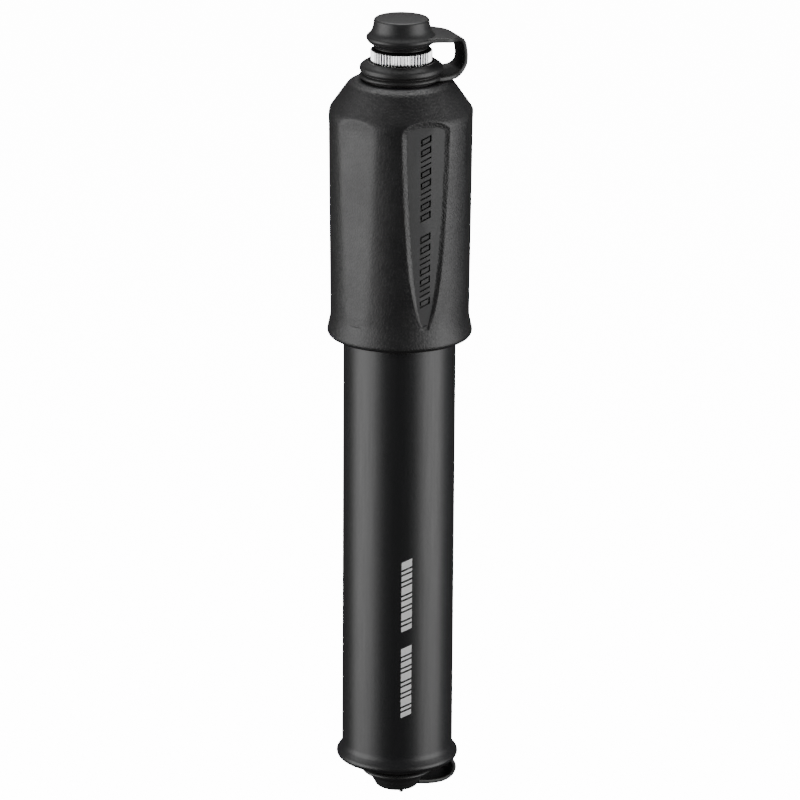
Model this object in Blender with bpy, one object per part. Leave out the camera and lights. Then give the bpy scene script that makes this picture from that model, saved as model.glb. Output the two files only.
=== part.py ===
"""Hand-held mini pump with a hose stored in its shaft. Metres, +Z up.

The Z axis is the pump's axis. The origin is on it, half-way along the bare barrel, where a frame
bracket grips. The dust caps' straps loop towards +X, and the marked grip panel faces -Y.
Profiles are listed in millimetres as (radius, height) and scaled once, when a piece is turned.
"""
import math

import bmesh
import bpy
from mathutils import Matrix, Vector

MM = 0.001
GAP = 0.3            # clearance between neighbouring pieces
FINE = 36            # sides of the large turned pieces
COARSE = 24          # sides of the small turned pieces
TINY = 12            # sides of pins and bores under 3 mm

# barrel
TUBE_R = 11.86
BORE_R = 10.7
TUBE_TOP = 91.0
TUBE_FOOT = -48.9
FLARE_TOP = -45.6
FLARE_R = 12.76

# shaft
SHAFT_R = 7.0
SHAFT_BORE_R = 6.0
SHAFT_TOP = 99.0
SHAFT_FOOT = -26.5

# grip
GRIP_TOP = 101.0
GRIP_FOOT = 45.5
GRIP_BORE_R = 12.3
GRIP_CEILING = 94.5
RIDGE_TOP = (15.1, 91.0)
RIDGE_FOOT = (14.45, 51.0)
FLAT_COUNT = 6
FLAT_TOP = (14.05, 91.0)      # distance of a flat from the axis, at this height
FLAT_FOOT = (14.45, 50.3)
PANEL_DEPTH = 0.35
PANEL_ANGLE = -90.0

# hose and chuck
HOSE_R = 2.35
HOSE_BORE_R = 1.2
HOSE_TOP = 93.6
HOSE_FOOT = 1.7
CHUCK_R = 6.46
CHUCK_TOP = 107.5
CHUCK_FOOT = 96.0
SOCKET_R = 4.1
KNURLS = 28

# valve
BALL_R = 2.0
BALL_Z = -39.5
VALVE_ROOF = -37.5
VALVE_FLOOR = -43.0
PORT_R = 3.6

# straps
STRAP_WIDTH = 5.0
STRAP_THICK = 1.0
TOP_LOOP = (9.4, 105.625, 3.925)      # x and z of the loop's centre, mid-line radius
BASE_LOOP = (9.75, -52.3, 2.35)
TOP_HINGE = (13.4, 106.2)
BASE_HINGE = (12.1, -52.3)


def clear_scene():
    for obj in list(bpy.data.objects):
        bpy.data.objects.remove(obj, do_unlink=True)


def make_material(name, colour, roughness, metallic=0.0):
    material = bpy.data.materials.new(name)
    material.use_nodes = True
    shader = material.node_tree.nodes["Principled BSDF"]
    shader.inputs["Base Color"].default_value = (*colour, 1.0)
    shader.inputs["Roughness"].default_value = roughness
    shader.inputs["Metallic"].default_value = metallic
    material.diffuse_color = (*colour, 1.0)
    return material


def add_object(name, bm, material):
    mesh = bpy.data.meshes.new(name)
    bm.to_mesh(mesh)
    bm.free()
    obj = bpy.data.objects.new(name, mesh)
    bpy.context.scene.collection.objects.link(obj)
    if material:
        mesh.materials.append(material)
    return obj


def turned(name, material, profile, sides=COARSE):
    """A closed outline of (radius, height) points turned once round Z."""
    bm = bmesh.new()
    points = [bm.verts.new((r * MM, 0.0, z * MM)) for r, z in profile]
    for i, start in enumerate(points):
        end = points[(i + 1) % len(points)]
        if start.co.x > 0 or end.co.x > 0:
            bm.edges.new((start, end))
    bmesh.ops.spin(
        bm, geom=bm.verts[:] + bm.edges[:], cent=(0, 0, 0), axis=(0, 0, 1),
        angle=math.tau, steps=sides, use_merge=True, use_duplicate=False,
    )
    bmesh.ops.remove_doubles(bm, verts=bm.verts[:], dist=1e-7)
    bmesh.ops.recalc_face_normals(bm, faces=bm.faces[:])
    obj = add_object(name, bm, material)
    obj.data.shade_smooth()
    obj.data.set_sharp_from_angle(angle=math.radians(35))
    return obj


def ring(name, material, inner, outer, low, high, sides=COARSE, edge=0.0):
    """A plain ring, with its two outer edges broken by a chamfer when edge is given."""
    if not edge:
        outline = [(inner, high), (outer, high), (outer, low), (inner, low)]
        return turned(name, material, outline, sides)
    outline = [
        (inner, high), (outer - edge, high), (outer, high - edge), (outer, low + edge),
        (outer - edge, low), (inner, low),
    ]
    return turned(name, material, outline, sides)


def set_origin(obj, x, z):
    """Puts a piece's origin on its hinge, leaving the piece where it is."""
    point = Vector((x * MM, 0.0, z * MM))
    obj.data.transform(Matrix.Translation(-point))
    obj.location = point


def use_as_cutter(obj, target):
    obj.hide_render = True
    obj.display_type = "WIRE"
    cut = target.modifiers.new(obj.name, "BOOLEAN")
    cut.operation = "DIFFERENCE"
    cut.solver = "EXACT"
    cut.object = obj


def between(low, high, z):
    """Straight-line value at height z between two (value, height) points."""
    return low[0] + (high[0] - low[0]) * (z - low[1]) / (high[1] - low[1])


# ---- barrel ---------------------------------------------------------------------------------

def make_barrel(anodised, steel, plastic, seal):
    turned("barrel_tube", anodised, [
        (BORE_R, TUBE_TOP), (TUBE_R - 0.3, TUBE_TOP), (TUBE_R, TUBE_TOP - 0.3), (TUBE_R, FLARE_TOP),
        (12.1, -46.1), (12.45, -46.7), (12.7, -47.3), (FLARE_R, -47.7), (12.6, -48.2),
        (12.1, -48.6), (11.4, TUBE_FOOT), (BORE_R, TUBE_FOOT),
    ], FINE)
    make_base_plug(plastic)
    ring("base_oring", seal, 9.5, 10.35, -42.0, -40.6, edge=0.3)
    make_valve(steel)
    ring("base_strap_ring", seal, 7.3, 8.4, -50.8, -49.2, edge=0.3)
    turned("barrel_gland", plastic, [
        (8.7, 81.0), (8.7, 88.0), (8.8, 88.3), (8.8, 90.4), (7.5, 90.4), (7.5, 91.8),
        (11.4, 91.8), (TUBE_R, 91.6), (TUBE_R, 91.3), (10.4, 91.3), (10.4, 81.0),
    ])
    turned("gland_bush", steel, [
        (SHAFT_R + GAP, 88.0), (8.4, 88.0), (8.4, 80.7), (9.6, 80.7), (9.6, 79.7),
        (SHAFT_R + GAP, 79.7),
    ])
    ring("gland_wiper", seal, SHAFT_R + GAP, 8.5, 88.6, 90.1, edge=0.3)


def make_base_plug(plastic):
    outline = [
        (1.2, -36.0), (10.1, -36.0), (10.4, -36.3), (10.4, -40.3), (9.2, -40.3), (9.2, -42.3),
        (10.4, -42.3), (10.4, TUBE_FOOT), (7.0, TUBE_FOOT), (7.0, -50.8), (6.7, -51.1),
        (PORT_R, -51.1), (PORT_R, VALVE_FLOOR), (3.0, VALVE_FLOOR), (3.0, VALVE_ROOF),
        (1.2, VALVE_ROOF),
    ]
    turned("base_plug", plastic, outline)


def make_valve(steel):
    bm = bmesh.new()
    bmesh.ops.create_icosphere(bm, subdivisions=2, radius=BALL_R * MM)
    bmesh.ops.translate(bm, verts=bm.verts[:], vec=(0, 0, BALL_Z * MM))
    add_object("check_ball", bm, steel)
    ring("valve_retainer", steel, 1.0, PORT_R - GAP, -44.0, VALVE_FLOOR - GAP, TINY)
    make_valve_spring(steel)


def make_valve_spring(steel):
    turns, per_turn, radius, wire = 2.5, 12, 1.7, 0.2
    low, high = -42.4, -41.3
    curve = bpy.data.curves.new("valve_spring", "CURVE")
    curve.dimensions = "3D"
    curve.bevel_depth = wire * MM
    curve.bevel_resolution = 1
    curve.use_fill_caps = True
    count = int(turns * per_turn) + 1
    line = curve.splines.new("POLY")
    line.points.add(count - 1)
    for i, point in enumerate(line.points):
        angle = math.tau * i / per_turn
        z = low + (high - low) * i / (count - 1)
        point.co = (radius * math.cos(angle) * MM, radius * math.sin(angle) * MM, z * MM, 1.0)
    curve.materials.append(steel)
    obj = bpy.data.objects.new("valve_spring", curve)
    bpy.context.scene.collection.objects.link(obj)


# ---- handle, shaft and piston ---------------------------------------------------------------

def grip_outline():
    """The grip's outer side, top to bottom, before its flats are cut."""
    return [
        (7.8, GRIP_TOP), (9.9, GRIP_TOP), (10.7, 100.75), (11.26, 100.1), (14.1, 96.0),
        (14.72, 94.9), (15.02, 93.7), (15.1, 92.5), RIDGE_TOP, RIDGE_FOOT, (14.47, 50.3),
        (14.7, 49.0), (15.03, 47.7), (15.16, 46.75), (15.0, 46.1), (14.4, 45.65), (13.2, GRIP_FOOT),
    ]


def grip_radius(z):
    side = grip_outline()
    for upper, lower in zip(side, side[1:]):
        if lower[1] <= z <= upper[1] and upper[1] > lower[1]:
            return between(lower, upper, z)
    return side[-1][0]


def flat_half_width(z):
    """Half the width of a flat where it meets the turned side, at height z."""
    radius, distance = grip_radius(z), between(FLAT_FOOT, FLAT_TOP, z)
    return math.sqrt(max(radius**2 - distance**2, 0.0))


def add_flat_prism(bm, outline, depth, angle):
    """A prism outside the flat that faces angle. Its outline is (across, height) points."""
    outside = 20.0
    verts = [bm.verts.new((x * MM, -outside * MM, z * MM)) for x, z in outline]
    face = bm.faces.new(verts)
    new = bmesh.ops.extrude_face_region(bm, geom=[face], use_keep_orig=True)["geom"]
    inner = [v for v in new if isinstance(v, bmesh.types.BMVert)]
    for v in inner:
        v.co.y = -(between(FLAT_FOOT, FLAT_TOP, v.co.z / MM) - depth) * MM
    turn = Matrix.Rotation(math.radians(angle + 90), 3, "Z")
    bmesh.ops.rotate(bm, verts=verts + inner, cent=(0, 0, 0), matrix=turn)


def make_grip(rubberised):
    grip = turned("handle_grip", rubberised, grip_outline() + [
        (GRIP_BORE_R, GRIP_FOOT), (GRIP_BORE_R, GRIP_CEILING), (9.3, GRIP_CEILING),
        (9.3, 99.9), (7.8, 99.9),
    ], FINE)
    flats = bmesh.new()
    low, high, across = FLAT_FOOT[1], 97.5, 8.0
    box = [(-across, low), (across, low), (across, high), (-across, high)]
    for i in range(FLAT_COUNT):
        add_flat_prism(flats, box, 0.0, PANEL_ANGLE + 360 / FLAT_COUNT * i)
    bmesh.ops.recalc_face_normals(flats, faces=flats.faces[:])
    use_as_cutter(add_object("flats_cutter", flats, None), grip)

    heights = [51.5, 54, 58, 64, 72, 82, 91, 93, 94.3, 95.2, 95.7]
    right = [(flat_half_width(z) - 0.15, z) for z in heights]
    left = [(-x, z) for x, z in reversed(right)]
    panel = bmesh.new()
    add_flat_prism(panel, right + left, PANEL_DEPTH, PANEL_ANGLE)
    bmesh.ops.recalc_face_normals(panel, faces=panel.faces[:])
    use_as_cutter(add_object("panel_cutter", panel, None), grip)


def make_handle(rubberised, plastic, steel, alloy, seal):
    make_grip(rubberised)
    turned("handle_insert", plastic, [
        (SHAFT_BORE_R, 103.6), (7.2, 103.6), (7.5, 103.3), (7.5, 99.6), (9.0, 99.6), (9.0, 94.2),
        (10.8, 94.2), (10.8, 92.6), (7.3, 92.6), (7.3, 99.3), (SHAFT_BORE_R, 99.3),
    ])
    ring("pump_shaft", steel, SHAFT_BORE_R, SHAFT_R, SHAFT_FOOT, SHAFT_TOP, edge=0.2)
    turned("shaft_end_plug", alloy, [
        (0, -12.0), (5.4, -12.0), (5.7, -12.3), (5.7, -17.4), (4.6, -17.4), (4.6, -19.2),
        (5.7, -19.2), (5.7, -26.8), (9.4, -26.8), (9.4, -27.6), (3.0, -27.6), (3.0, -35.2),
        (0, -35.2),
    ])
    ring("shaft_end_oring", seal, 4.9, 5.7, -19.0, -17.6, edge=0.25)
    ring("topout_bumper", seal, SHAFT_R + GAP, 9.4, SHAFT_FOOT, -24.6, edge=0.3)
    turned("piston_head", plastic, [
        (3.3, -27.9), (10.1, -27.9), (10.3, -28.1), (10.3, -30.4), (8.6, -30.4), (8.6, -33.0),
        (10.3, -33.0), (10.3, -35.2), (10.1, -35.4), (5.2, -35.4), (5.2, -32.8), (3.3, -32.8),
    ])
    ring("piston_ring", seal, 8.9, 10.4, -32.7, -31.4, edge=0.3)
    ring("piston_nut", steel, 3.3, 4.9, -35.2, -33.1, 12)


# ---- hose, chuck and caps -------------------------------------------------------------------

def make_hose(rubber, brass, steel, seal):
    ring("hose_tube", rubber, HOSE_BORE_R, HOSE_R, HOSE_FOOT, HOSE_TOP, TINY)
    for name, low, high in (("upper_ferrule", 84.0, 93.6), ("lower_ferrule", 1.7, 11.0)):
        ring(name, steel, HOSE_R + GAP, 3.4, low, high, TINY, edge=0.2)
    turned("chuck_nipple", brass, [
        (0.5, 98.0), (3.1, 98.0), (3.4, 97.7), (3.4, 97.3), (1.9, 97.3), (1.9, 95.4), (3.4, 95.4),
        (3.4, 93.9), (0.9, 93.9), (0.9, 86.0), (0.5, 86.0),
    ], TINY)
    turned("hose_fitting", brass, [
        (0.5, 9.0), (0.9, 9.0), (0.9, 1.4), (5.0, 1.4), (5.3, 1.1), (5.3, -0.9), (5.0, -1.2),
        (3.3, -1.2), (3.3, -4.8), (2.5, -4.8), (2.5, -6.4), (3.3, -6.4), (3.3, -7.7),
        (3.0, -8.0), (0.5, -8.0),
    ], TINY)
    ring("fitting_oring", seal, 2.8, 3.5, -6.1, -5.1, TINY, edge=0.2)
    turned("hose_collar", seal, [
        (5.9, 104.4), (6.9, 104.4), (6.9, 104.85), (7.15, 105.0), (7.7, 104.95), (8.2, 104.55),
        (8.5, 103.8), (8.35, 103.1), (8.1, 102.65), (8.1, 102.35), (8.45, 102.2), (8.65, 101.85),
        (8.6, 101.55), (8.35, 101.35), (7.8, 101.35), (7.8, 104.0), (5.9, 104.0),
    ])


def make_chuck(alloy, seal, steel):
    knurl_depth = 0.2
    chuck = turned("chuck", alloy, [
        (4.6, CHUCK_TOP), (6.2, CHUCK_TOP), (CHUCK_R, 107.2), (CHUCK_R, 105.2), (6.2, 104.9),
        (5.6, 104.9), (5.6, CHUCK_FOOT), (2.2, CHUCK_FOOT), (2.2, 97.0), (SOCKET_R, 97.0),
        (SOCKET_R, 106.9),
    ], KNURLS * 2)
    for v in chuck.data.vertices:
        column = round(math.atan2(v.co.y, v.co.x) / (math.pi / KNURLS))
        if v.co.xy.length > 6.3 * MM and column % 2:
            v.co.xy *= 1 - knurl_depth / CHUCK_R
    ring("gasket_washer", steel, 1.6, SOCKET_R - GAP, 98.3, 98.7, TINY)
    ring("valve_gasket", seal, 1.9, SOCKET_R - GAP, 99.0, 100.4, TINY, edge=0.2)


def make_caps(rubber):
    top = turned("top_cap", rubber, [
        (0, 114.0), (5.5, 114.0), (5.8, 113.75), (5.95, 112.6), (6.2, 111.6), (6.65, 110.8),
        (7.2, 110.2), (7.3, 109.85), (7.1, 109.4), (6.4, 108.75), (5.75, 108.3), (5.5, 107.8), (4.0, 107.8),
        (3.8, 107.3), (3.8, 105.9), (3.3, 105.5), (0, 105.5),
    ])
    set_origin(top, *TOP_HINGE)
    base = turned("base_cap", rubber, [
        (0, -49.3), (2.9, -49.3), (3.3, -49.8), (3.3, -51.4), (7.2, -51.4), (7.7, -51.9),
        (7.3, -52.5), (6.4, -53.0), (5.9, -53.4), (5.5, -54.0), (5.0, -54.7), (4.4, -55.3),
        (0.7, -55.45), (0.6, -56.0), (0, -56.0),
    ])
    set_origin(base, *BASE_HINGE)


def make_strap(name, rubber, loop, start, end):
    """A flat band bent into a C that opens towards -X. start and end are its arms' free ends."""
    x, z, radius = loop
    bends = 12
    sign = 1 if start[1] < z else -1
    angles = [sign * (math.pi * i / bends - math.pi / 2) for i in range(bends + 1)]

    def side(offset):
        arc = [(x + (radius + offset) * math.cos(a), z + (radius + offset) * math.sin(a))
               for a in angles]
        return [(start[0], start[1] - sign * offset), *arc, (end[0], end[1] + sign * offset)]

    half = STRAP_THICK / 2
    outline = side(half) + side(-half)[::-1]
    bm = bmesh.new()
    width = STRAP_WIDTH * MM
    face = bm.faces.new([bm.verts.new((px * MM, -width / 2, pz * MM)) for px, pz in outline])
    new = bmesh.ops.extrude_face_region(bm, geom=[face], use_keep_orig=True)["geom"]
    far = [v for v in new if isinstance(v, bmesh.types.BMVert)]
    bmesh.ops.translate(bm, verts=far, vec=(0, width, 0))
    bmesh.ops.triangulate(bm, faces=[f for f in bm.faces if len(f.verts) > 4])
    bmesh.ops.recalc_face_normals(bm, faces=bm.faces[:])
    return add_object(name, bm, rubber)


def main():
    clear_scene()
    anodised = make_material("anodised_barrel", (0.018, 0.018, 0.019), 0.34, 0.6)
    rubberised = make_material("grip_shell", (0.022, 0.022, 0.023), 0.55)
    plastic = make_material("black_plastic", (0.02, 0.02, 0.021), 0.45)
    rubber = make_material("cap_rubber", (0.018, 0.018, 0.018), 0.5)
    seal = make_material("seal_rubber", (0.015, 0.015, 0.015), 0.6)
    steel = make_material("bright_steel", (0.6, 0.6, 0.61), 0.22, 1.0)
    alloy = make_material("bright_alloy", (0.85, 0.85, 0.86), 0.25, 1.0)
    brass = make_material("fitting_brass", (0.72, 0.52, 0.22), 0.3, 1.0)

    make_barrel(anodised, steel, plastic, seal)
    make_handle(rubberised, plastic, steel, alloy, seal)
    make_hose(rubber, brass, steel, seal)
    make_chuck(alloy, seal, steel)
    make_caps(rubber)
    collar_edge, cap_edge = 9.0, 7.7
    make_strap("top_strap", rubber, TOP_LOOP, (collar_edge, 101.7), (cap_edge, 109.55))
    ring_edge, base_cap_edge = 8.75, 6.6
    make_strap("base_strap", rubber, BASE_LOOP, (ring_edge, -49.95), (base_cap_edge, -54.1))


main()
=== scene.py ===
import math
import bmesh
import bpy
from mathutils import Matrix, Vector


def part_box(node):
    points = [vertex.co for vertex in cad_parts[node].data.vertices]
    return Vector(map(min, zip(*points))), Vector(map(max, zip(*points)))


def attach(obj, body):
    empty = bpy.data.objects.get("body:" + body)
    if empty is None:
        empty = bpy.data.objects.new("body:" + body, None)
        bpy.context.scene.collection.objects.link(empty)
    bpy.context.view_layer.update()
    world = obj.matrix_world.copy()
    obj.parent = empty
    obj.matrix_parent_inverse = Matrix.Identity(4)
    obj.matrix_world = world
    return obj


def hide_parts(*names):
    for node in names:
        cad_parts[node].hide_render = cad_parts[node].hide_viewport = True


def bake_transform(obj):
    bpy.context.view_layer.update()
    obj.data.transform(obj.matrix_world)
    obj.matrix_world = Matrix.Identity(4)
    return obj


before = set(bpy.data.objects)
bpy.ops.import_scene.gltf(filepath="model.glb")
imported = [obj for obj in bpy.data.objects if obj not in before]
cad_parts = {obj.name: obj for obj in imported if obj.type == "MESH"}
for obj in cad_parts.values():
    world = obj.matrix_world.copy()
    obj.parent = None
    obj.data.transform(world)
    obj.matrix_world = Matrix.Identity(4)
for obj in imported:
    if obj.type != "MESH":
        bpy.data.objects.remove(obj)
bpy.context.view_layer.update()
mm = 0.001
boxes = {node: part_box(node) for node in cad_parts}


def topOf(node):  # highest point of a frame node, in millimetres
    return boxes[node][1].z / mm


def footOf(node):
    return boxes[node][0].z / mm


def widthOf(node):  # outer radius of a turned node, in millimetres
    return boxes[node][1].x / mm


def newMaterial(name, colour, roughness, metallic=0.0):
    material = bpy.data.materials.new(name)
    material.use_nodes = True
    tree = material.node_tree
    shader = tree.nodes["Principled BSDF"]
    shader.inputs["Base Color"].default_value = (*colour, 1.0)
    shader.inputs["Roughness"].default_value = roughness
    shader.inputs["Metallic"].default_value = metallic
    return material, tree, shader


def addNode(tree, kind, **values):
    node = tree.nodes.new(kind)
    for name, value in values.items():
        node.inputs[name.replace("_", " ")].default_value = value
    return node


def coordinates(tree, stretch=(1.0, 1.0, 1.0)):
    place = tree.nodes.new("ShaderNodeTexCoord")
    mapping = addNode(tree, "ShaderNodeMapping", Scale=stretch)
    tree.links.new(place.outputs["Object"], mapping.inputs["Vector"])
    return mapping.outputs["Vector"]


def noiseAt(tree, vector, scale, detail=3.0):
    node = addNode(tree, "ShaderNodeTexNoise", Scale=scale, Detail=detail)
    tree.links.new(vector, node.inputs["Vector"])
    return node.outputs["Fac"]


def rangeOf(tree, value, low, high, fromLow=0.3, fromHigh=0.7):
    node = addNode(tree, "ShaderNodeMapRange", From_Min=fromLow, From_Max=fromHigh,
                   To_Min=low, To_Max=high)
    tree.links.new(value, node.inputs["Value"])
    return node.outputs["Result"]


def tintBetween(tree, value, dark, light):
    ramp = tree.nodes.new("ShaderNodeValToRGB")
    ramp.color_ramp.elements[0].position = 0.3
    ramp.color_ramp.elements[1].position = 0.7
    ramp.color_ramp.elements[0].color = (*dark, 1.0)
    ramp.color_ramp.elements[1].color = (*light, 1.0)
    tree.links.new(value, ramp.inputs["Fac"])
    return ramp.outputs["Color"]


def bumpFrom(tree, height, distance, under=None):
    node = addNode(tree, "ShaderNodeBump", Distance=distance)
    tree.links.new(height, node.inputs["Height"])
    if under:
        tree.links.new(under, node.inputs["Normal"])
    return node.outputs["Normal"]


gripLook = {
    "colour": (0.0105, 0.0105, 0.011), "light": (0.014, 0.014, 0.0145), "roughLow": 0.4, "roughHigh": 0.48,
    "cells": 1500.0, "cellEdge": 0.22, "grainDepth": 0.00003, "wobble": 900.0, "wobbleReach": 0.0005,
    "fine": 5200.0, "fineDepth": 0.000006, "cloud": 120.0,
}


# Leather grain: pebbles with bent edges, a finer grain on them and a faint cloudiness.
def gripMaterial():
    look = gripLook
    material, tree, shader = newMaterial("moulded grip, leather grain", look["colour"], 0.5)
    place = coordinates(tree)
    wobble = addNode(tree, "ShaderNodeTexNoise", Scale=look["wobble"], Detail=2.0)
    tree.links.new(place, wobble.inputs["Vector"])
    bend = tree.nodes.new("ShaderNodeVectorMath")
    bend.operation = "MULTIPLY_ADD"
    bend.inputs[1].default_value = (look["wobbleReach"],) * 3
    tree.links.new(wobble.outputs["Color"], bend.inputs[0])
    tree.links.new(place, bend.inputs[2])
    cells = addNode(tree, "ShaderNodeTexVoronoi", Scale=look["cells"])
    cells.feature = "DISTANCE_TO_EDGE"
    tree.links.new(bend.outputs["Vector"], cells.inputs["Vector"])
    pebble = rangeOf(tree, cells.outputs["Distance"], 0.0, 1.0, 0.0, look["cellEdge"])
    fine = noiseAt(tree, place, look["fine"], 2.0)
    normal = bumpFrom(tree, pebble, look["grainDepth"])
    normal = bumpFrom(tree, fine, look["fineDepth"], under=normal)
    broad = noiseAt(tree, place, look["cloud"])
    tree.links.new(tintBetween(tree, broad, look["colour"], look["light"]), shader.inputs["Base Color"])
    tree.links.new(rangeOf(tree, broad, look["roughLow"], look["roughHigh"]), shader.inputs["Roughness"])
    tree.links.new(normal, shader.inputs["Normal"])
    return material


cloudScale = 140.0


def satinMaterial(name, look):  # faint cloudiness and a very fine bump
    material, tree, shader = newMaterial(name, look["colour"], look["rough"], look.get("metal", 0.0))
    place = coordinates(tree, look.get("stretch", (1.0, 1.0, 1.0)))
    fine = noiseAt(tree, place, look["grain"], 3.0)
    broad = noiseAt(tree, place, cloudScale)
    spread = look.get("spread", 0.05)
    light = tuple(c * look.get("lift", 1.25) for c in look["colour"])
    tree.links.new(tintBetween(tree, broad, look["colour"], light), shader.inputs["Base Color"])
    tree.links.new(rangeOf(tree, fine, look["rough"] - spread, look["rough"] + spread),
                   shader.inputs["Roughness"])
    tree.links.new(bumpFrom(tree, fine, look["depth"]), shader.inputs["Normal"])
    return material


paint = {
    "grip": gripMaterial(),
    "barrel": satinMaterial("black anodised tube", {
        "colour": (0.0095, 0.0095, 0.0103), "rough": 0.42, "grain": 2600.0,
        "stretch": (1.0, 1.0, 0.03), "depth": 0.0000012, "spread": 0.03}),
    "panel": satinMaterial("smooth recessed panel", {
        "colour": (0.0125, 0.0125, 0.013), "rough": 0.44, "grain": 4200.0, "depth": 0.000005}),
    "rubber": satinMaterial("moulded cap rubber", {
        "colour": (0.0135, 0.0135, 0.0138), "rough": 0.47, "grain": 3600.0, "depth": 0.000004}),
    "seal": satinMaterial("seal rubber", {
        "colour": (0.012, 0.012, 0.012), "rough": 0.55, "grain": 3000.0, "depth": 0.000005}),
    "hose": satinMaterial("hose cover", {
        "colour": (0.016, 0.016, 0.016), "rough": 0.42, "grain": 1800.0,
        "stretch": (1.0, 1.0, 0.25), "depth": 0.000006}),
    "plastic": satinMaterial("filled nylon", {
        "colour": (0.02, 0.02, 0.0205), "rough": 0.5, "grain": 2400.0, "depth": 0.000006}),
    # Near-black colour for the chuck core: its rim above the knurl is painted shade and a painted reflection
    # of the dark cap above it.
    "paintedShadeRim": satinMaterial("chuck core with painted rim shade", {
        "colour": (0.006, 0.006, 0.0065), "rough": 0.4, "grain": 3000.0, "depth": 0.000002}),
    "alloy": satinMaterial("bright turned alloy", {
        "colour": (0.93, 0.93, 0.94), "rough": 0.2, "metal": 1.0, "grain": 5000.0, "lift": 1.03,
        "depth": 0.000002, "spread": 0.04}),
    "steel": satinMaterial("ground steel", {
        "colour": (0.56, 0.56, 0.57), "rough": 0.24, "metal": 1.0, "grain": 2600.0, "lift": 1.08,
        "stretch": (1.0, 1.0, 0.05), "depth": 0.0000015}),
    "brass": satinMaterial("turned brass", {
        "colour": (0.68, 0.46, 0.18), "rough": 0.28, "metal": 1.0, "grain": 2600.0, "lift": 1.1,
        "stretch": (0.05, 0.05, 1.0), "depth": 0.000002}),
    "print": satinMaterial("pad-printed white", {
        "colour": (0.74, 0.74, 0.74), "rough": 0.5, "grain": 3000.0, "lift": 1.05, "depth": 0.000003}),
}
print("materials made")


def addPiece(name, bm, finish, body=None, standsFor=(), sharp=38.0):
    mesh = bpy.data.meshes.new(name)
    bm.to_mesh(mesh)
    bm.free()
    mesh.materials.append(paint[finish])
    mesh.shade_smooth()
    mesh.set_sharp_from_angle(angle=math.radians(sharp))
    piece = bpy.data.objects.new(name, mesh)
    bpy.context.scene.collection.objects.link(piece)
    if standsFor:
        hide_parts(*standsFor)
    if body:
        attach(piece, body)
    return piece


# Corners are (across, up) or (across, up, reach). Reach is how far from the corner its rounding starts.
def roundedOutline(corners, bends=5):
    points = []
    for i, corner in enumerate(corners):
        here = Vector(corner[:2])
        if len(corner) < 3:
            points.append(here)
            continue
        back = Vector(corners[i - 1][:2]) - here
        ahead = Vector(corners[(i + 1) % len(corners)][:2]) - here
        start = here + back.normalized() * min(corner[2], back.length * 0.49)
        end = here + ahead.normalized() * min(corner[2], ahead.length * 0.49)
        for k in range(bends + 1):
            t = k / bends
            points.append(start * (1 - t) ** 2 + here * (2 * t * (1 - t)) + end * t**2)
    return points


# Turns a closed outline of (radius, height above base) points, in millimetres, round the pump's axis.
def turn(points, base, steps):
    bm = bmesh.new()
    line = [bm.verts.new((max(p.x, 0) * mm, 0, (base + p.y) * mm)) for p in points]
    for a, b in zip(line, line[1:] + line[:1]):
        if a.co.x > 0 or b.co.x > 0:
            bm.edges.new((a, b))
    bmesh.ops.spin(bm, geom=bm.verts[:] + bm.edges[:], cent=(0, 0, 0), axis=(0, 0, 1),
                   angle=math.tau, steps=steps, use_merge=True, use_duplicate=False)
    bmesh.ops.remove_doubles(bm, verts=bm.verts[:], dist=1e-7)
    bmesh.ops.recalc_face_normals(bm, faces=bm.faces[:])
    return bm


# Heights in corners are measured from the top of the frame node that the piece stands for.
def turnedPiece(name, node, body, finish, corners, steps=128):
    bm = turn(roundedOutline(corners), topOf(node), steps)
    return addPiece(name, bm, finish, body, [node])


def smoothStep(t):
    t = min(max(t, 0.0), 1.0)
    return t * t * (3 - 2 * t)


gripShape = {
    "boreRadius": 12.3, "ceiling": -6.5, "flats": 6,
    "flatTop": (14.58, -10.0), "flatFoot": (14.5, -50.7),    # distance from the axis, height from the top
    "archTop": -4.9, "archLength": 2.0, "rise": 0.3,
    "tip": -50.6, "tipLength": 6.0, "softness": 0.28,
    "columnsPerHalfFlat": 28, "edgeColumn": 16, "leastHalfAngle": 2.6, "gather": 3.5,
    "rowGap": 0.5, "archRowGap": 0.13, "footRowGap": 0.3,
}
panelShape = {
    "floorTop": (14.15, -10.0), "floorFoot": (14.12, -50.7), "rise": 0.4,
    "halfWidth": 5.45, "archFoot": -8.3, "archTop": -5.6, "tip": -50.9, "taper": 1.6, "tipFade": 1.8,
    "bed": 0.45, "bedColumn": 7, "bedMargin": 0.12, "wall": 1.35, "wallTaper": 0.6, "coveLift": 0.03,
    "easeFrom": -8.0, "easeLength": 5.0, "easeLeast": 0.12, "easeMost": 1.2, "easeSoftness": 0.12,
    "plateFrom": 1.2, "plateLeast": 0.3,
}


def gripSide():
    return [
        (7.8, 0, 0.15), (9.75, 0, 0.35), (10.2, -0.28, 0.3), (11.15, -0.75, 0.75), (15.32, -6.65, 1.1),
        (15.27, -10.0), (14.62, -50.0, 1.0), (14.68, -51.2, 0.7), (15.2, -53.4, 0.8),
        (15.35, -54.4, 0.55), (14.85, -55.15, 0.5), (13.4, -55.5, 0.5), (12.3, -55.5, 0.3),
    ]


def lineAt(top, foot, height):
    share = (height - foot[1]) / (top[1] - foot[1])
    return foot[0] + (top[0] - foot[0]) * share


def softMin(a, b, softness):
    h = min(max(0.5 + 0.5 * (b - a) / softness, 0.0), 1.0)
    return b + (a - b) * h - softness * h * (1 - h)


# Rows along the grip's side are closest where the flats arch, and close where they end.
def rowGap(a, b):
    if a.y < -3.0 and b.y > -9.9 and a.x > 12.5:
        return gripShape["archRowGap"]
    return gripShape["footRowGap"] if a.y < -45 else gripShape["rowGap"]


def fillLongRuns(points):
    filled = []
    for a, b in zip(points, points[1:]):
        outer = min(a.x, b.x) > gripShape["boreRadius"] - 1.5
        count = max(1, math.ceil((b - a).length / rowGap(a, b))) if outer else 1
        filled += [a.lerp(b, k / count) for k in range(count)]
    return filled + [points[-1]]


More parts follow.
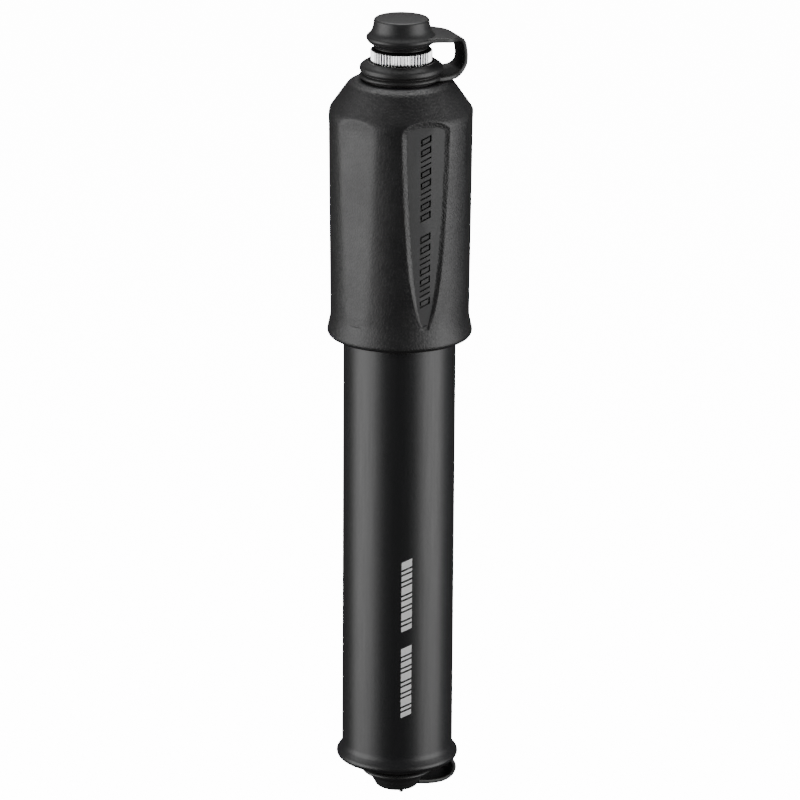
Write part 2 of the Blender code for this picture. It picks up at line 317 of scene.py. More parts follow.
def archRise(height):
    return smoothStep((height + 9.5) / 4.6)


# Distance from the axis to a flat, and to the floor of the panel's recess.
def flatDistance(height):
    s = gripShape
    return lineAt(s["flatTop"], s["flatFoot"], height) + s["rise"] * archRise(height)


def floorDistance(height):
    p = panelShape
    return lineAt(p["floorTop"], p["floorFoot"], height) + p["rise"] * archRise(height)


def flatHalfAngle(radius, height):
    distance = flatDistance(height)
    inRange = gripShape["tip"] <= height <= gripShape["archTop"]
    if not inRange or distance >= radius:
        return 0.0
    return math.degrees(math.acos(distance / radius))


def panelHalfWidth(height):
    p = panelShape
    if not p["tip"] < height < p["archTop"]:
        return 0.0
    if height > p["archFoot"]:
        share = ((height - p["archFoot"]) / (p["archTop"] - p["archFoot"])) ** 2
    else:
        share = ((p["archFoot"] - height) / (p["archFoot"] - p["tip"])) ** p["taper"]
    return p["halfWidth"] * math.sqrt(1 - share)


def panelSlope(height):  # how much longer the recess's edge is than its height
    step = 0.05
    change = panelHalfWidth(height + step) - panelHalfWidth(height - step)
    return math.hypot(1, change / (step * 2))


def wallWidth(height):  # narrower towards the recess's tip
    p = panelShape
    if height > p["archFoot"]:
        return p["wall"]
    return p["wall"] * max(panelHalfWidth(height) / p["halfWidth"], 0.02) ** p["wallTaper"]


# Half the width of the flat plate that lies in the recess, inside its coved wall.
def plateHalfWidth(height):
    p = panelShape
    if height <= p["archFoot"]:
        half = panelHalfWidth(height) - wallWidth(height) * panelSlope(height)
        return half if half > p["plateLeast"] and height > p["tip"] + p["plateFrom"] else 0.0
    share = (height - p["archFoot"]) / (p["archTop"] - p["archFoot"] - p["wall"])
    return (p["halfWidth"] - p["wall"]) * math.sqrt(max(1 - share**2, 0.0))


# 0 on the recess's outline and 1 at the foot of its wall.
def wallShare(across, height):
    p = panelShape
    if height <= p["archFoot"]:
        return (panelHalfWidth(height) - across) / (wallWidth(height) * panelSlope(height))
    if height >= p["archTop"]:
        return 0.0
    up, high = height - p["archFoot"], p["archTop"] - p["archFoot"]
    wide, wall = p["halfWidth"], p["wall"]
    here = math.hypot(across, up)
    outer = here / math.hypot(across / wide, up / high)
    inner = here / math.hypot(across / (wide - wall), up / (high - wall))
    return (outer - here) / (outer - inner)


# Angle of a column of the mesh from its flat's middle. One column stays on the flat's edge.
def columnAngle(column, halfAngle):
    edge, last = gripShape["edgeColumn"], gripShape["columnsPerHalfFlat"]
    if column <= edge:
        return halfAngle * column / edge
    return halfAngle + (180 / gripShape["flats"] - halfAngle) * (column - edge) / (last - edge)


def panelColumnAngle(column, used, height):
    p, edge = panelShape, gripShape["edgeColumn"]
    outline = panelHalfWidth(height)
    if column > edge or outline == 0:
        return columnAngle(column, used)
    inner = max(plateHalfWidth(height), outline * 0.35) / outline * used
    if column <= p["bedColumn"]:
        return inner * column / p["bedColumn"]
    return inner + (used - inner) * (column - p["bedColumn"]) / (edge - p["bedColumn"])


def recessedRadius(surface, angle, height):
    p = panelShape
    distance = floorDistance(height)
    across = distance * math.tan(abs(angle))
    inside = wallShare(across, height)
    floor = (distance - p["coveLift"]) / math.cos(angle)
    if inside <= 0 or floor > surface:
        return surface
    if across < plateHalfWidth(height) - p["bedMargin"]:
        return (distance - p["bed"]) / math.cos(angle)
    share = (1 - (1 - min(inside, 1)) ** 2) * smoothStep((height - p["tip"]) / p["tipFade"])
    return surface + (floor - surface) * share


def panelRadius(radius, angle, height):  # a small flat eases the shoulder into the recess's arch
    p = panelShape
    ease = p["easeLeast"] + p["easeMost"] * smoothStep((p["easeFrom"] - height) / p["easeLength"])
    if height < p["archTop"]:
        radius = softMin(radius, (floorDistance(height) + ease) / math.cos(angle), p["easeSoftness"])
    return recessedRadius(radius, angle, height)


def flatRadius(radius, angle, height):
    s = gripShape
    if not s["tip"] <= height <= s["archTop"]:
        return radius
    ends = smoothStep((height - s["tip"]) / s["tipLength"])
    ends *= smoothStep((s["archTop"] - height) / s["archLength"])
    return softMin(radius, flatDistance(height) / math.cos(angle), max(s["softness"] * ends, 0.001))


# Angle from the flat's middle to which a column moves. Columns gather past the flat's ends.
def gatheredAngle(column, radius, height, isPanel):
    s = gripShape
    shape = panelShape if isPanel else s
    halfAngle = flatHalfAngle(radius, height)
    if isPanel:
        halfAngle = math.degrees(math.atan(panelHalfWidth(height) / floorDistance(height)))
    plain = 180 / s["flats"] * s["edgeColumn"] / s["columnsPerHalfFlat"]
    away = max(height - shape["archTop"], shape["tip"] - height, 0.0)
    spread = (plain - s["leastHalfAngle"]) * smoothStep(away / s["gather"])
    used = max(halfAngle, s["leastHalfAngle"] + spread)
    return panelColumnAngle(column, used, height) if isPanel else columnAngle(column, used)


def shapeGripVertex(v):
    s = gripShape
    radius, height = v.co.xy.length / mm, v.co.z / mm - topOf("handle_grip")
    if radius < s["boreRadius"] + 0.4 or height > -2.0:
        return
    sector = 360 / s["flats"]
    angle = math.degrees(math.atan2(v.co.y, v.co.x))
    flat = round((angle + 90) / sector)
    middle = -90 + flat * sector
    isPanel = flat % s["flats"] == 0
    column = round(abs(angle - middle) / (sector / 2) * s["columnsPerHalfFlat"])
    turned = math.radians(gatheredAngle(column, radius, height, isPanel))
    shaped = panelRadius if isPanel else flatRadius
    radius = shaped(radius, turned, height)
    turned = math.radians(middle) + math.copysign(turned, angle - middle)
    v.co.x = radius * math.cos(turned) * mm
    v.co.y = radius * math.sin(turned) * mm


def makeGrip():
    s = gripShape
    side = fillLongRuns(roundedOutline(gripSide()))
    inside = roundedOutline([(s["boreRadius"], -54.9), (s["boreRadius"], s["ceiling"], 0.6),
                             (9.3, s["ceiling"]), (9.3, -1.1), (7.8, -1.1)])
    columns = s["flats"] * s["columnsPerHalfFlat"] * 2
    bm = turn(side + inside, topOf("handle_grip"), columns)
    for v in bm.verts:
        shapeGripVertex(v)
    addPiece("gripShell", bm, "grip", "handle", ["handle_grip"], sharp=32)


def panelPoint(across, height, depth):
    top = topOf("handle_grip")
    distance = floorDistance(height) - depth
    return (across * mm, -distance * mm, (top + height) * mm)


# A prism between two depths below the recess's floor. Its outline is (across, height) points.
def addSlab(bm, outline, topDepth, bottomDepth, hole=()):
    outer = [bm.verts.new(panelPoint(x, h, topDepth)) for x, h in outline]
    inner = [bm.verts.new(panelPoint(x, h, topDepth)) for x, h in hole]
    faces = [] if hole else [bm.faces.new(outer)]
    for i in range(len(inner)):
        j = (i + 1) % len(inner)
        faces.append(bm.faces.new((outer[i], outer[j], inner[j], inner[i])))
    new = bmesh.ops.extrude_face_region(bm, geom=faces, use_keep_orig=True)["geom"]
    top = topOf("handle_grip")
    for v in new:
        if isinstance(v, bmesh.types.BMVert):
            v.co = panelPoint(v.co.x / mm, v.co.z / mm - top, bottomDepth)


panelMarks = {"count": 16, "first": -9.8, "last": -44.6, "half": 1.15, "tall": 1.5, "slant": 0.5,
              "stroke": 0.34, "depth": 0.32}


def slantedBox(half, low, high, slant):
    return [(-half, low - slant), (half, low + slant), (half, high + slant), (-half, high - slant)]


# A column of plain slanted frames and paired bars, with a wide space in the middle.
def addPanelMarks(bm):
    m = panelMarks
    pitch = (m["first"] - m["last"]) / (m["count"] - 1)
    half, stroke = m["half"], m["stroke"]
    depths = (-0.2, m["depth"])
    for i in range(m["count"]):
        if i == m["count"] // 2:
            continue
        low = m["first"] - pitch * i - m["tall"] / 2
        high = low + m["tall"]
        if i % 3 == 2:
            addSlab(bm, slantedBox(half, low, low + stroke, m["slant"]), *depths)
            addSlab(bm, slantedBox(half, high - stroke, high, m["slant"]), *depths)
        else:
            slant = m["slant"] * (half - stroke) / half
            hole = slantedBox(half - stroke, low + stroke, high - stroke, slant)
            addSlab(bm, slantedBox(half, low, high, m["slant"]), *depths, hole)


plateRows = [(-50.8, 0.2, 30), (-44.8, 0.5, 73), (-8.4, 0.05, 60)]  # first height, gap, number


def makeMarkCutter():
    bm = bmesh.new()
    addPanelMarks(bm)
    bmesh.ops.recalc_face_normals(bm, faces=bm.faces[:])
    mesh = bpy.data.meshes.new("markCutters")
    bm.to_mesh(mesh)
    bm.free()
    cutter = bpy.data.objects.new("markCutters", mesh)
    bpy.context.scene.collection.objects.link(cutter)
    return cutter


def makePanel():
    heights = [first + gap * k for first, gap, number in plateRows for k in range(number)]
    right = [(plateHalfWidth(h) + 0.02, h) for h in heights if plateHalfWidth(h) > 0]
    outline = right + [(-x, h) for x, h in reversed(right)]
    bm = bmesh.new()
    addSlab(bm, outline, 0.0, panelShape["bed"] + 0.1)
    bmesh.ops.recalc_face_normals(bm, faces=bm.faces[:])
    plate = addPiece("gripPanel", bm, "panel", "handle", sharp=20)
    cutter = makeMarkCutter()
    cut = plate.modifiers.new("marks", "BOOLEAN")
    cut.operation, cut.solver, cut.object = "DIFFERENCE", "EXACT", cutter
    ease = plate.modifiers.new("ease", "BEVEL")
    ease.width, ease.segments, ease.limit_method = 0.05 * mm, 2, "ANGLE"
    evaluated = plate.evaluated_get(bpy.context.evaluated_depsgraph_get())
    finished = bpy.data.meshes.new_from_object(evaluated)
    plate.modifiers.clear()
    plate.data = finished
    plate.data.shade_smooth()
    plate.data.set_sharp_from_angle(angle=math.radians(20))
    bpy.data.objects.remove(cutter)


makeGrip()
makePanel()
print("grip made")


def makeBarrel():
    base = topOf("barrel_tube")
    outer, foot = widthOf("barrel_gland"), footOf("barrel_tube") - base
    corners = [
        (10.7, 0, 0.15), (outer, 0, 0.25), (outer, foot + 2.85, 0.8), (12.5, foot + 1.9, 0.75),
        (13.12, foot + 1.1, 0.5), (12.85, foot + 0.2, 0.5), (12.0, foot - 0.25, 0.4),
        (11.2, foot - 0.3, 0.3), (10.7, foot + 0.2, 0.2),
    ]
    addPiece("barrelTube", turn(roundedOutline(corners, 7), base, 192), "barrel", "barrel", ["barrel_tube"])


printMarks = {
    "angle": -102.5, "width": 2.24, "lift": 0.012, "thick": 0.02, "slant": 0.42, "groups": (-0.9, -20.3),
    "gap": 0.42, "bars": (1.7, 0.6, 1.1, 0.6, 1.7, 0.6, 1.1, 0.6, 1.7, 0.6, 1.1),
}


# A slanted bar wrapped on the barrel, between two heights.
def addBentBar(bm, low, high):
    m = printMarks
    radius = widthOf("barrel_gland") + m["lift"]
    grid = bmesh.ops.create_grid(bm, x_segments=6, y_segments=2, size=0.5)["verts"]
    for v in grid:
        across = v.co.x * m["width"]
        height = low + (high - low) * (v.co.y + 0.5) + across * m["slant"]
        angle = math.radians(m["angle"]) + across / radius
        v.co = (radius * math.cos(angle) * mm, radius * math.sin(angle) * mm, height * mm)


# Plain printed column: slanted white stripes of three thicknesses, in two groups.
def makePrint():
    m = printMarks
    bm = bmesh.new()
    for height in m["groups"]:
        for tall in m["bars"]:
            addBentBar(bm, height - tall, height)
            height -= tall + m["gap"]
    for f in bm.faces:
        f.normal_update()
    inward = [f for f in bm.faces if f.normal.dot(f.calc_center_median()) < 0]
    bmesh.ops.reverse_faces(bm, faces=inward)
    bmesh.ops.solidify(bm, geom=bm.faces[:], thickness=m["thick"] * mm)
    addPiece("printedBars", bm, "print", "barrel", sharp=60)


makeBarrel()
makePrint()
print("barrel made")


chuckShape = {"knurls": 56, "columnsPerKnurl": 8, "depth": 0.24,
              "bandLow": -2.6, "bandHigh": -0.08, "bandRoot": 6.1}


def makeChuck():
    c = chuckShape
    base = topOf("chuck")
    radius = widthOf("chuck")
    inner = [(5.2, c["bandLow"]), (5.2, c["bandHigh"])]
    outer = [(c["bandRoot"], c["bandHigh"], 0.1), (radius, c["bandHigh"] - 0.12, 0.12),
             (radius, c["bandLow"] + 0.12, 0.12), (c["bandRoot"], c["bandLow"], 0.1)]
    bm = turn(roundedOutline(inner + outer, 3), base, c["knurls"] * c["columnsPerKnurl"])
    for v in bm.verts:
        r = v.co.xy.length / mm
        if r > c["bandRoot"] + 0.02:
            wave = 0.5 - 0.5 * math.cos(c["knurls"] * math.atan2(v.co.y, v.co.x))
            v.co.xy *= 1 - c["depth"] * wave**1.5 * smoothStep((r - c["bandRoot"]) / 0.2) / r
    addPiece("chuckBand", bm, "alloy", "chuck", ["chuck"], sharp=50)
    core = [
        (4.6, 0, 0.15), (6.1, 0, 0.15), (6.25, -0.1, 0.05), (6.1, c["bandHigh"] + 0.02),
        (5.9, c["bandHigh"]), (5.9, c["bandLow"]), (5.6, c["bandLow"] - 0.05), (5.6, -11.5, 0.2),
        (2.2, -11.5, 0.1), (2.2, -10.5, 0.1), (4.1, -10.5), (4.1, -0.6),
    ]
    # The chuck core's rim above the knurl takes the near-black colour as painted shade and a painted
    # reflection of the cap.
    turnedPiece("chuckCore", "chuck", "chuck", "paintedShadeRim", core)


def makeCollar():
    corners = [
        (5.9, -0.6, 0.1), (6.85, -0.6), (6.85, -0.05, 0.1), (7.15, 0, 0.2), (8.35, -0.75, 0.5),
        (8.72, -1.2, 0.25), (8.68, -2.05, 0.3), (8.1, -2.45, 0.15), (8.1, -2.6, 0.08),
        (8.52, -2.7, 0.25), (8.8, -3.15, 0.3), (8.55, -3.65, 0.25),
        (7.8, -3.65), (7.8, -1.0), (5.9, -1.0, 0.1),
    ]
    turnedPiece("collar", "hose_collar", "hose", "rubber", corners, 160)


def makeTopCap():
    corners = [
        (0, 0.2), (2.8, 0.16, 1.5), (5.45, 0, 0.28), (5.78, -0.28, 0.25), (5.95, -1.7, 0.8),
        (6.35, -2.9, 0.9), (7.5, -3.95, 0.5), (7.0, -4.85, 0.4), (5.8, -5.72, 0.3), (5.45, -5.78, 0.1),
        (5.45, -5.86, 0.05), (5.72, -5.98, 0.1), (5.66, -6.2, 0.1), (4.0, -6.25, 0.15),
        (3.8, -6.6, 0.2), (3.8, -8.1, 0.3), (3.3, -8.5, 0.3), (0, -8.5),
    ]
    turnedPiece("topCap", "top_cap", "top_cap", "rubber", corners, 160)


def makeBaseCap():
    corners = [
        (0, 0), (2.9, 0, 0.3), (3.3, -0.5, 0.3), (3.3, -2.1, 0.1), (7.3, -2.1, 0.3), (7.75, -2.6, 0.35),
        (7.3, -3.2, 0.4), (6.2, -3.75, 0.35), (5.6, -4.15, 0.25), (5.2, -5.2, 0.4), (5.0, -5.35, 0.15),
        (4.7, -6.2, 0.6), (3.9, -6.8, 0.5), (0, -6.95),
    ]
    turnedPiece("baseCap", "base_cap", "base_cap", "rubber", corners, 160)
    bm = bmesh.new()
    bmesh.ops.create_icosphere(bm, subdivisions=3, radius=0.5 * mm)
    place = (-0.3 * mm, -3.4 * mm, (topOf("base_cap") - 6.85) * mm)
    bmesh.ops.translate(bm, verts=bm.verts[:], vec=place)
    addPiece("mouldingPip", bm, "rubber", "base_cap")
    ringCorners = [(7.3, 0, 0.1), (8.35, 0, 0.35), (8.45, -0.8, 0.4), (8.3, -1.6, 0.35), (7.3, -1.6, 0.1)]
    turnedPiece("baseRing", "base_strap_ring", "barrel", "rubber", ringCorners, 160)


hollowPoints = 12


# A band with rounded edges along a path of (x, z) points, one half width for each point.
# Its start is hollowed to follow a ring of the given radius, over the first few points.
def sweepBand(path, halfWidths, halfThick, rounding, ringRadius):
    bm = bmesh.new()
    corner = bm.verts.layers.int.new("corner")

    def section(i):
        w, h = halfWidths[i], halfThick
        square = [(w, h, rounding), (-w, h, rounding), (-w, -h, rounding), (w, -h, rounding)]
        along = (path[min(i + 1, len(path) - 1)] - path[max(i - 1, 0)]).normalized()
        across = Vector((-along.y, along.x))
        hollow = max(0.0, 1 - i / hollowPoints)
        places = []
        for p in roundedOutline(square, 4):
            back = (ringRadius - math.sqrt(ringRadius**2 - p.x**2)) * hollow if hollow else 0
            places.append(Vector(((path[i].x + across.x * p.y - back) * mm, p.x * mm,
                                  (path[i].y + across.y * p.y) * mm)))
        return places

    ring = []
    for k, co in enumerate(section(0)):
        v = bm.verts.new(co)
        v[corner] = k
        ring.append(v)
    edges = [bm.edges.new((a, b)) for a, b in zip(ring, ring[1:] + ring[:1])]
    for i in range(1, len(path)):
        new = bmesh.ops.extrude_edge_only(bm, edges=edges)["geom"]
        places = section(i)
        for v in new:
            if isinstance(v, bmesh.types.BMVert):
                v.co = places[v[corner]]
        edges = [e for e in new if isinstance(e, bmesh.types.BMEdge)]
        edges = [e for e in edges if len(e.link_faces) == 1]
    bmesh.ops.holes_fill(bm, edges=[e for e in bm.edges if len(e.link_faces) == 1], sides=0)
    bmesh.ops.recalc_face_normals(bm, faces=bm.faces[:])
    return bm


def smoothPath(corners, steps=8):  # a smooth line through all of its corners
    points = [Vector(c) for c in corners]
    points = [points[0] * 2 - points[1], *points, points[-1] * 2 - points[-2]]
    line = []
    for a, b, c, d in zip(points, points[1:], points[2:], points[3:]):
        for k in range(steps):
            t = k / steps
            line.append((b * 2 + (c - a) * t + (a * 2 - b * 5 + c * 4 - d) * t**2
                         + (b * 3 - a - c * 3 + d) * t**3) / 2)
    return line + [points[-2]]


topStrap = {
    "line": [(7.95, 101.65), (9.6, 101.62), (11.7, 102.1), (13.05, 103.3), (13.42, 104.9), (13.25, 106.8),
             (12.75, 108.4), (11.5, 109.35), (9.4, 109.65), (6.4, 109.95), (2.8, 110.0)],
    "halfWidth": 2.6, "startWidth": 6.0, "endWidth": 6.2, "bend": 14.2, "reach": 6.2,
    "halfThick": 0.5, "rounding": 0.35, "ring": 7.95,
}
baseStrap = {
    "line": [(7.5, -49.9), (9.4, -49.95), (11.3, -50.8), (12.25, -52.6), (11.6, -54.3), (9.6, -55.2),
             (6.8, -55.25), (3.8, -54.9)],
    "halfWidth": 2.9, "startWidth": 5.2, "endWidth": 3.4, "bend": 12.6, "reach": 7.5,
    "halfThick": 0.5, "rounding": 0.35, "ring": 7.5,
}


# The band widens towards both of its ends.
def makeStrap(name, s, node):
    path = smoothPath(s["line"])
    widths = []
    for i, point in enumerate(path):
        wide = s["startWidth"] if i < len(path) / 2 else s["endWidth"]
        share = smoothStep((s["bend"] - point.x) / s["reach"])
        widths.append(s["halfWidth"] + (wide - s["halfWidth"]) * share)
    bm = sweepBand(path, widths, s["halfThick"], s["rounding"], s["ring"])
    band = addPiece(name, bm, "rubber", standsFor=[node], sharp=50)
    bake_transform(band)


makeChuck()
makeCollar()
makeTopCap()
makeBaseCap()
makeStrap("topStrap", topStrap, "top_strap")
makeStrap("baseStrap", baseStrap, "base_strap")
print("chuck, collar, caps and straps made")


# Inner parts, seen when the pump is drawn out.
def makeInnerParts():
    turnedPiece("basePlug", "base_plug", "barrel", "plastic", [
        (1.2, 0, 0.1), (10.1, 0, 0.2), (10.4, -0.4, 0.2), (10.4, -4.3), (9.2, -4.3, 0.2), (9.2, -6.3, 0.2),
        (10.4, -6.3), (10.4, -12.9, 0.1), (7.0, -12.9, 0.1), (7.0, -15.1, 0.3), (3.6, -15.1, 0.2),
        (3.6, -7.0), (3.0, -7.0), (3.0, -1.5, 0.4), (1.2, -1.5, 0.1)])
    turnedPiece("glandRing", "barrel_gland", "barrel", "plastic", [
        (7.5, 0, 0.15), (11.5, 0, 0.2), (11.86, -0.3, 0.15), (11.86, -0.5), (10.4, -0.5, 0.1),
        (10.4, -10.8, 0.4), (8.7, -10.8, 0.2), (8.7, -3.8), (8.8, -3.5), (8.8, -1.4, 0.1), (7.5, -1.4, 0.1)])
    turnedPiece("glandBush", "gland_bush", "barrel", "steel", [
        (7.3, 0, 0.1), (8.4, 0, 0.2), (8.4, -7.3, 0.15), (9.6, -7.3, 0.15), (9.6, -8.3, 0.15),
        (7.3, -8.3, 0.1)])
    turnedPiece("shaftTube", "pump_shaft", "handle", "steel", [
        (6.0, 0, 0.15), (7.0, 0, 0.2), (7.0, -125.5, 0.2), (6.0, -125.5, 0.15)], 160)
    turnedPiece("neckInsert", "handle_insert", "handle", "plastic", [
        (6.0, 0, 0.2), (7.5, 0, 0.35), (7.5, -4.0), (9.0, -4.0, 0.2), (9.0, -9.4, 0.1), (10.8, -9.4, 0.2),
        (10.8, -11.0, 0.2), (7.3, -11.0, 0.1), (7.3, -4.3), (6.0, -4.3)])
    turnedPiece("shaftPlug", "shaft_end_plug", "handle", "alloy", [
        (0, 0), (5.7, 0, 0.4), (5.7, -5.4), (4.6, -5.4, 0.1), (4.6, -7.2, 0.1), (5.7, -7.2), (5.7, -14.8),
        (9.4, -14.8, 0.2), (9.4, -15.6, 0.2), (3.0, -15.6), (3.0, -23.2, 0.3), (0, -23.2)])
    turnedPiece("pistonHead", "piston_head", "handle", "plastic", [
        (3.3, 0), (10.3, 0, 0.3), (10.3, -2.5, 0.1), (8.6, -2.5, 0.2), (8.6, -5.1, 0.2), (10.3, -5.1, 0.1),
        (10.3, -7.5, 0.3), (5.2, -7.5, 0.1), (5.2, -4.9), (3.3, -4.9)])
    turnedPiece("hoseTube", "hose_tube", "hose", "hose", [
        (1.2, 0, 0.1), (2.35, 0, 0.15), (2.35, -91.9, 0.15), (1.2, -91.9, 0.1)], 64)
    turnedPiece("chuckNipple", "chuck_nipple", "hose", "brass", [
        (0.5, 0, 0.1), (3.1, 0, 0.2), (3.4, -0.3, 0.1), (3.4, -0.7), (1.9, -0.7, 0.1), (1.9, -2.6, 0.1),
        (3.4, -2.6, 0.15), (3.4, -4.1, 0.15), (0.9, -4.1), (0.9, -12.0, 0.1), (0.5, -12.0)], 64)


hoseEnd = {"pitch": 0.8, "crest": 3.3, "root": 3.0, "threadTop": -10.6, "threadFoot": -13.4,
           "grips": 24, "columnsPerGrip": 8, "gripDepth": 0.3, "gripRoot": 4.9}


def threadedEnd():  # the hose's free end, with a knurled collar and a threaded nose
    h = hoseEnd
    crest = h["crest"]
    corners = [(0.5, 0), (0.9, 0, 0.1), (0.9, -7.6), (5.0, -7.6, 0.2), (5.3, -7.9, 0.15),
               (5.3, -9.9, 0.15), (5.0, -10.2, 0.2), (crest, -10.2)]
    height = h["threadTop"]
    while height > h["threadFoot"]:
        corners += [(crest, height, 0.08), (h["root"], height - h["pitch"] / 2, 0.08)]
        height -= h["pitch"]
    corners += [(crest, -13.8), (2.5, -13.8, 0.15), (2.5, -15.4, 0.15), (crest, -15.4, 0.1),
                (crest, -16.5, 0.2), (2.9, -17.0, 0.15), (0.5, -17.0)]
    bm = turn(roundedOutline(corners, 4), topOf("hose_fitting"), h["grips"] * h["columnsPerGrip"])
    for v in bm.verts:
        r = v.co.xy.length / mm
        if r > h["gripRoot"]:
            wave = 0.5 - 0.5 * math.cos(h["grips"] * math.atan2(v.co.y, v.co.x))
            v.co.xy *= 1 - h["gripDepth"] * wave**3 * smoothStep((r - h["gripRoot"]) / 0.3) / r
    addPiece("hoseEnd", bm, "brass", "hose", ["hose_fitting"], sharp=45)


# Each ring's node, body, inner radius, outer radius and height.
roundSeals = {
    "pistonRing": ("piston_ring", "piston_ring", 8.9, 10.4, 1.3),
    "plugSeal": ("base_oring", "barrel", 9.5, 10.35, 1.4),
    "shaftSeal": ("shaft_end_oring", "handle", 4.9, 5.7, 1.4),
    "shaftWiper": ("gland_wiper", "barrel", 7.3, 8.5, 1.5),
    "strokeBumper": ("topout_bumper", "handle", 7.3, 9.4, 1.9),
    "endSeal": ("fitting_oring", "hose", 2.8, 3.5, 1.0),
    "valveGasket": ("valve_gasket", "chuck", 1.9, 3.8, 1.4),
}
metalRings = {
    "upperSleeve": ("upper_ferrule", "hose", 2.65, 3.4, 9.6),
    "lowerSleeve": ("lower_ferrule", "hose", 2.65, 3.4, 9.3),
    "gasketWasher": ("gasket_washer", "chuck", 1.6, 3.8, 0.4),
    "springRetainer": ("valve_retainer", "barrel", 1.0, 3.3, 0.7),
}


def makeRings():
    for name, (node, body, inner, outer, tall) in roundSeals.items():
        ease = min(outer - inner, tall) * 0.45
        corners = [(inner, 0, ease), (outer, 0, ease), (outer, -tall, ease), (inner, -tall, ease)]
        turnedPiece(name, node, body, "seal", corners, 96)
    for name, (node, body, inner, outer, tall) in metalRings.items():
        corners = [(inner, 0, 0.08), (outer, 0, 0.15), (outer, -tall, 0.15), (inner, -tall, 0.08)]
        if tall > 5:  # two crimped grooves
            corners[2:2] = [(outer, -tall * 0.25, 0.2), (outer - 0.2, -tall * 0.33, 0.3),
                            (outer, -tall * 0.41, 0.2), (outer, -tall * 0.6, 0.2),
                            (outer - 0.2, -tall * 0.68, 0.3), (outer, -tall * 0.76, 0.2)]
        turnedPiece(name, node, body, "steel", corners, 96)


def makePistonNut():
    nut = [(3.3, 0, 0.1), (4.9, 0, 0.25), (4.9, -2.1, 0.25), (3.3, -2.1, 0.1)]
    turnedPiece("pistonNut", "piston_nut", "handle", "steel", nut, 96)


checkValve = {"ball": 2.0, "coil": 1.7, "wire": 0.2, "springLow": -42.4, "springHigh": -41.3,
              "turns": 2.5, "steps": 60}


def makeCheckBall():
    low, high = boxes["check_ball"]
    bm = bmesh.new()
    bmesh.ops.create_icosphere(bm, subdivisions=4, radius=checkValve["ball"] * mm)
    bmesh.ops.translate(bm, verts=bm.verts[:], vec=(0, 0, (low.z + high.z) / 2))
    addPiece("checkBall", bm, "steel", "check_ball", ["check_ball"])


def makeValveSpring():  # a coil of wire between two fixed heights
    c = checkValve
    low, high, wire = c["springLow"], c["springHigh"], c["wire"]
    bm = bmesh.new()
    place = Matrix.Translation((c["coil"] * mm, 0, low * mm)) @ Matrix.Rotation(math.pi / 2, 4, "X")
    bmesh.ops.create_circle(bm, segments=12, radius=wire * mm, matrix=place)
    bmesh.ops.spin(bm, geom=bm.verts[:] + bm.edges[:], cent=(0, 0, 0), axis=(0, 0, 1),
                   dvec=(0, 0, (high - low) * mm / c["steps"]), angle=math.tau * c["turns"],
                   steps=c["steps"])
    bmesh.ops.holes_fill(bm, edges=[e for e in bm.edges if len(e.link_faces) == 1], sides=0)
    bmesh.ops.recalc_face_normals(bm, faces=bm.faces[:])
    spring = addPiece("valveSpring", bm, "steel", standsFor=["valve_spring"], sharp=50)
    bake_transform(spring)


makeInnerParts()
threadedEnd()
makeRings()
makeCheckBall()
makePistonNut()
makeValveSpring()
print("inner parts made")


studio = {
    "azimuth": -21.5, "elevation": 17.5, "distance": 1.166, "target": 0.031, "shiftRight": 0.00017,
    "lens": 248.0, "roll": 0.37, "floor": -0.16, "floorGlow": 14, "worldLight": 0.045,
}


def viewAxes():
    a, e = math.radians(studio["azimuth"]), math.radians(studio["elevation"])
    back = Vector((math.sin(a) * math.cos(e), -math.cos(a) * math.cos(e), math.sin(e)))
    right = Vector((math.cos(a), math.sin(a), 0))
    return back, right


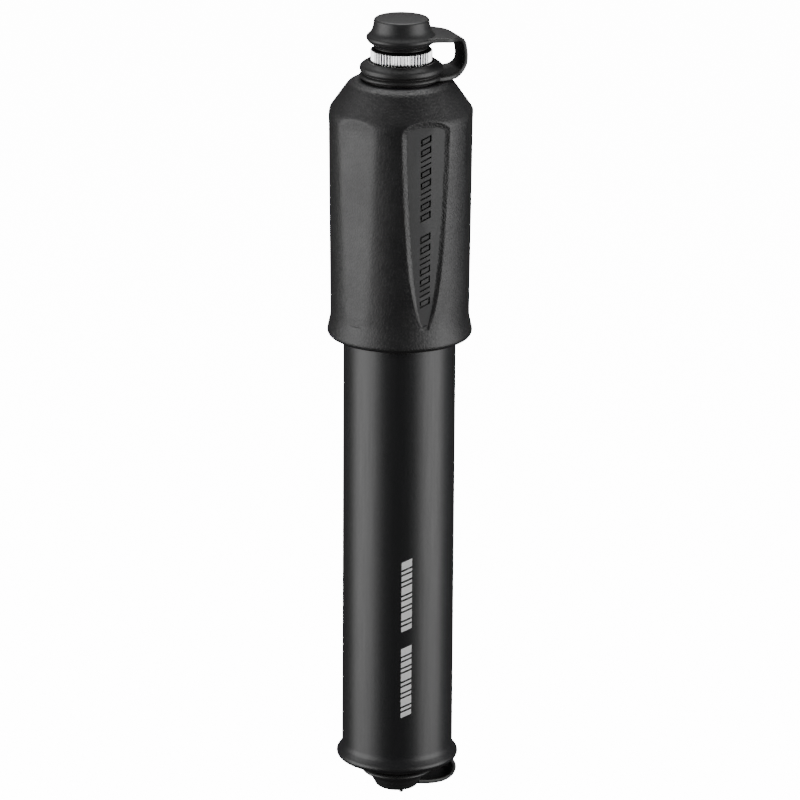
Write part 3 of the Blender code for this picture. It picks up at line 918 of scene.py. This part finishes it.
def makeCamera():
    back, right = viewAxes()
    target = Vector((0, 0, studio["target"])) + right * studio["shiftRight"]
    data = bpy.data.cameras.new("camera")
    data.lens = studio["lens"]
    data.clip_start, data.clip_end = 0.05, 20
    camera = bpy.data.objects.new("camera", data)
    bpy.context.scene.collection.objects.link(camera)
    roll = Matrix.Rotation(math.radians(studio["roll"]), 4, "Z")
    aim = (-back).to_track_quat("-Z", "Y").to_matrix().to_4x4()
    camera.matrix_world = Matrix.Translation(target + back * studio["distance"]) @ aim @ roll
    bpy.context.scene.camera = camera


# The angle aside is from the camera's direction, to the camera's right.
def areaLight(name, aside, height, distance, size, power):
    back, right = viewAxes()
    level = Vector((back.x, back.y, 0)).normalized()
    a = math.radians(aside)
    place = (level * math.cos(a) + right * math.sin(a)) * distance + Vector((0, 0, height))
    data = bpy.data.lights.new(name, "AREA")
    data.shape = "RECTANGLE"
    data.size, data.size_y = size
    data.energy = power
    light = bpy.data.objects.new(name, data)
    bpy.context.scene.collection.objects.link(light)
    aimAt = Vector((0, 0, 0.03))
    aim = (aimAt - place).to_track_quat("-Z", "Y").to_matrix().to_4x4()
    light.matrix_world = Matrix.Translation(place) @ aim


lights = {  # angle aside, height, distance, size, power
    "softboxLeft": (-73, 0.05, 0.8, (0.82, 0.9), 11),
    "softboxRight": (70, 0.05, 0.8, (0.78, 0.9), 10),
    "overhead": (180, 1.0, 0.3, (0.9, 0.5), 11),
    "softboxBack": (180, 0.75, 0.8, (0.9, 0.4), 0.8),
}


def makeWorld():
    world = bpy.data.worlds.new("studio")
    bpy.context.scene.world = world
    world.use_nodes = True
    background = world.node_tree.nodes["Background"]
    background.inputs["Color"].default_value = (1, 1, 1, 1)
    background.inputs["Strength"].default_value = studio["worldLight"]


def makeFloor():
    material, _, shader = newMaterial("pale floor", (0.9, 0.9, 0.9), 0.8)
    shader.inputs["Emission Color"].default_value = (1, 1, 1, 1)
    shader.inputs["Emission Strength"].default_value = studio["floorGlow"]
    bm = bmesh.new()
    bmesh.ops.create_grid(bm, x_segments=1, y_segments=1, size=6.0)
    mesh = bpy.data.meshes.new("floor")
    bm.to_mesh(mesh)
    bm.free()
    mesh.materials.append(material)
    floor = bpy.data.objects.new("floor", mesh)
    floor.location.z = studio["floor"]
    bpy.context.scene.collection.objects.link(floor)
    floor.visible_glossy = False
    floor.visible_diffuse = False


makeCamera()
for name, light in lights.items():
    areaLight(name, *light)
makeWorld()
makeFloor()
print("studio made")
